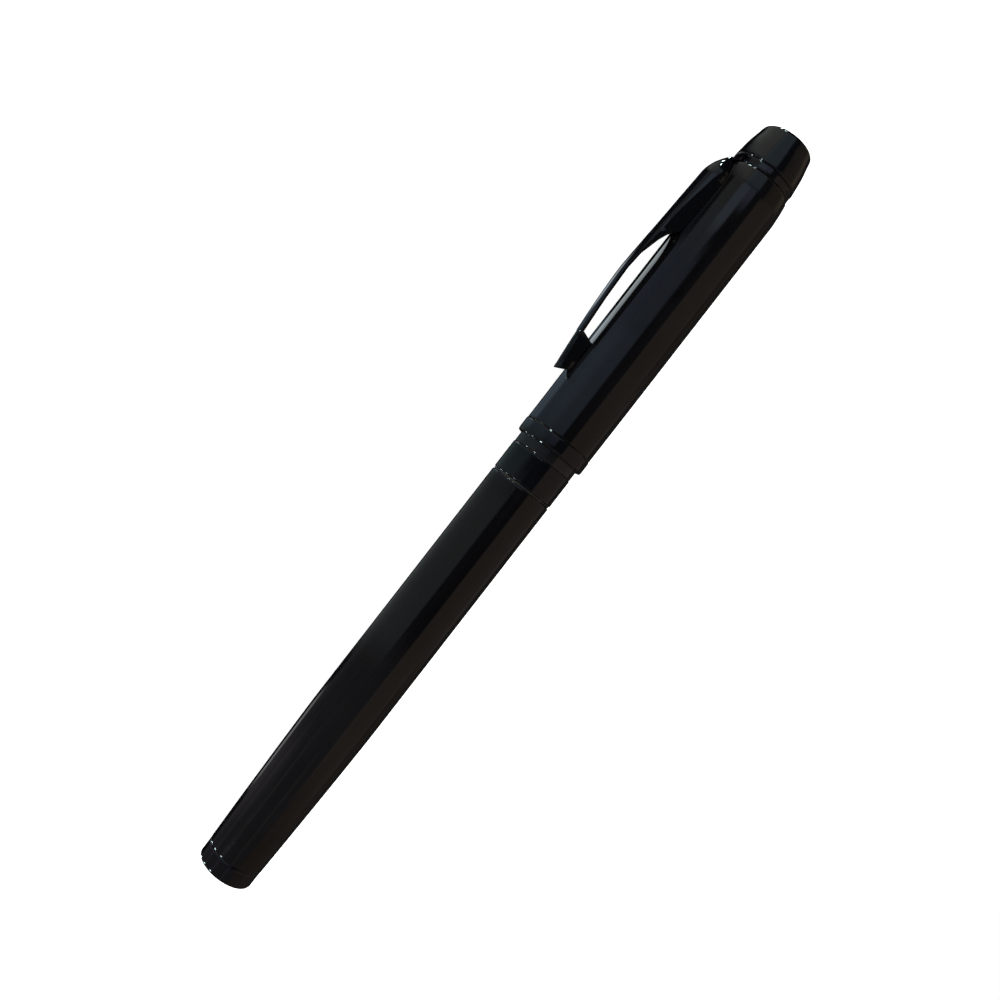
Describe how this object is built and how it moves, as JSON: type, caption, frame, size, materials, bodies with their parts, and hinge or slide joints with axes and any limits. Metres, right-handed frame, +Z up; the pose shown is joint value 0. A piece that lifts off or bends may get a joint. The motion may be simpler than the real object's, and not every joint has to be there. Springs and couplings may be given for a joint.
{
  "type": "counterfeit detector pen",
  "caption": "Capped black metal pen with a pocket clip; its fibre nib marks banknote paper with detector ink from a sealed reservoir.",
  "frame": {"origin": "centre of the outline, on the surface that the pen lies on", "axes": "+X along the pen from the tail plug to the crown, +Y to the side where the clip leans down, +Z up from the surface"},
  "size_m": [0.1374, 0.0138, 0.0116],
  "materials": {
    "black_lacquer": "gloss black lacquer on drawn brass",
    "black_trim": "gloss black plated and lacquered trim",
    "brass": "turned",
    "spring_steel": "drawn",
    "seal_rubber": "matt",
    "grip_plastic": "satin black",
    "liner_plastic": "dark moulded",
    "refill_plastic": "natural white",
    "wick_fibre": "ink-soaked fibre",
    "nib_fibre": "pressed fibre, stained amber by the ink"
  },
  "bodies": {
    "barrel": {"tail_plug": "black_trim", "barrel_tube": "black_lacquer", "barrel_bush": "brass", "tail_spring": "spring_steel"},
    "seal": {"seal_ring": "seal_rubber"},
    "section": {"section_collar": "black_trim", "section_sleeve": "brass", "grip": "grip_plastic", "snap_band": "spring_steel", "nose_cone": "black_trim"},
    "refill": {"reservoir_tube": "refill_plastic", "reservoir_plug": "refill_plastic", "ink_wick": "wick_fibre", "nib_holder": "refill_plastic", "nib": "nib_fibre"},
    "clutch": {"clutch_ring": "spring_steel"},
    "cap": {"cap_band": "black_trim", "cap_tube": "black_lacquer", "inner_cap": "liner_plastic", "cap_bush": "brass", "clip_washer": "black_trim", "crown_stud": "brass", "crown": "black_trim"},
    "clip": {"clip": "black_trim"}
  },
  "joints": [
    {"name": "thread_travel", "type": "slide", "parent": "barrel", "child": "seal", "axis": [1, 0, 0], "range_m": [0, 0.006]},
    {"name": "section_unscrew", "type": "hinge", "parent": "seal", "child": "section", "pos_m": [0.00347, -0.00109, 0.00581], "axis": [1, 0, 0], "range_deg": [0, 2882]},
    {"name": "refill_float", "type": "slide", "parent": "section", "child": "refill", "axis": [1, 0, 0], "range_m": [-0.0008, 0], "stiffness_N_per_m": 150, "springref_m": 0.0003, "deforming": ["tail_spring"]},
    {"name": "cap_pull", "type": "slide", "parent": "section", "child": "clutch", "axis": [1, 0, 0], "range_m": [0, 0.06]},
    {"name": "cap_spin", "type": "hinge", "parent": "clutch", "child": "cap", "pos_m": [0.01038, -0.00109, 0.00581], "axis": [1, 0, 0], "continuous": true},
    {"name": "clip_flex", "type": "hinge", "parent": "cap", "child": "clip", "pos_m": [0.06158, 0.00274, 0.00326], "axis": [0, -0.5538, -0.8326], "range_deg": [0, 3], "stiffness_Nm_per_rad": 1.5}
  ],
  "couplings": [
    {"joint": "section_unscrew", "follows": "thread_travel", "rad_per_m": 8377.6}
  ]
}
